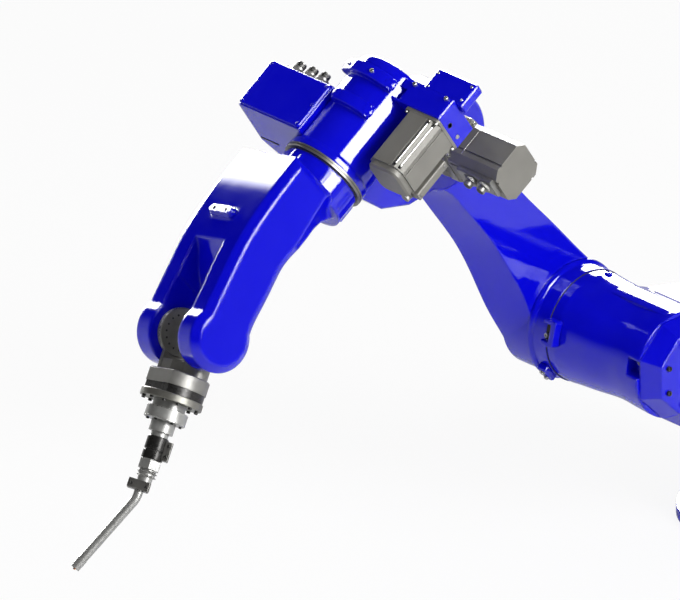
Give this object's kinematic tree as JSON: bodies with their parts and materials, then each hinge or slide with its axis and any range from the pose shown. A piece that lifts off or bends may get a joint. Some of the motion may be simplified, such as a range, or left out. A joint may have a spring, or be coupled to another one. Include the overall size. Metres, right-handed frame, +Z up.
{
  "type": "industrial robot arm",
  "caption": "Floor-mounted six-axis robot arm with a cantilevered lower arm, a rolling forearm fork, a bending wrist and a bent-neck welding torch.",
  "frame": {"origin": "centre of the base flange's underside, on the swivel axis", "axes": "+Z up along the swivel axis, +X the way the arm reaches in this posture, +Y to the robot's left"},
  "size_m": [1.8561, 0.543, 1.1683],
  "materials": {
    "blue_paint": "gloss",
    "bare_steel": "machined",
    "motor_grey": "satin",
    "connector_metal": "satin",
    "dark_steel": "satin",
    "torch_steel": "satin"
  },
  "bodies": {
    "base": {"base_casting": "blue_paint", "base_connector_box": "blue_paint", "base_connectors": "connector_metal", "base_ring": "bare_steel"},
    "swivel": {"turntable": "blue_paint", "swivel_column": "blue_paint", "swivel_motor": "motor_grey", "shoulder_end_cap": "blue_paint", "shoulder_stop_block": "blue_paint"},
    "lower_arm": {"lower_arm": "blue_paint", "shoulder_bumper": "blue_paint", "shoulder_cover": "blue_paint", "elbow_cover": "blue_paint"},
    "elbow": {"elbow_housing": "blue_paint", "roll_bearing_ring": "bare_steel", "junction_box": "blue_paint", "junction_lid": "blue_paint", "junction_connectors": "connector_metal", "motor_bracket": "blue_paint", "gear_cover": "blue_paint", "roll_motor": "motor_grey", "roll_motor_connectors": "connector_metal", "elbow_gearbox": "motor_grey", "elbow_motor": "motor_grey", "elbow_motor_connectors": "connector_metal"},
    "forearm": {"forearm": "blue_paint", "forearm_pad": "blue_paint"},
    "wrist": {"wrist_hub_disc": "dark_steel", "wrist_yoke": "dark_steel", "tool_gearbox": "dark_steel", "gearbox_band": "dark_steel", "gearbox_flange": "bare_steel"},
    "tool": {"tool_flange": "torch_steel", "torch_mount": "torch_steel", "torch_body": "torch_steel", "torch_clamp": "torch_steel", "torch_nut": "torch_steel", "torch_collar": "torch_steel", "neck_clamp": "torch_steel", "torch_neck": "torch_steel", "torch_nozzle": "torch_steel"}
  },
  "joints": [
    {"name": "swivel_turn", "type": "hinge", "parent": "base", "child": "swivel", "pos_m": [0, 0, 0.2], "axis": [0, 0, 1], "range_deg": [-170, 170]},
    {"name": "shoulder_swing", "type": "hinge", "parent": "swivel", "child": "lower_arm", "pos_m": [0.325, 0, 0.45], "axis": [0, 1, 0], "range_deg": [-126, 118]},
    {"name": "elbow_fold", "type": "hinge", "parent": "lower_arm", "child": "elbow", "pos_m": [0.68586, 0, 0.94305], "axis": [0, -1, 0], "range_deg": [-70, 115]},
    {"name": "forearm_roll", "type": "hinge", "parent": "elbow", "child": "forearm", "pos_m": [0.79508, -0.147, 1.1106], "axis": [0.8377, 0, -0.5461], "range_deg": [-150, 150]},
    {"name": "wrist_bend", "type": "hinge", "parent": "forearm", "child": "wrist", "pos_m": [1.33122, -0.147, 0.76109], "axis": [-0.1921, -0.9361, -0.2947], "range_deg": [-67, 106]},
    {"name": "tool_turn", "type": "hinge", "parent": "wrist", "child": "tool", "pos_m": [1.40779, -0.12858, 0.65267], "axis": [0.5714, 0.1375, -0.8091], "range_deg": [-210, 210]}
  ]
}
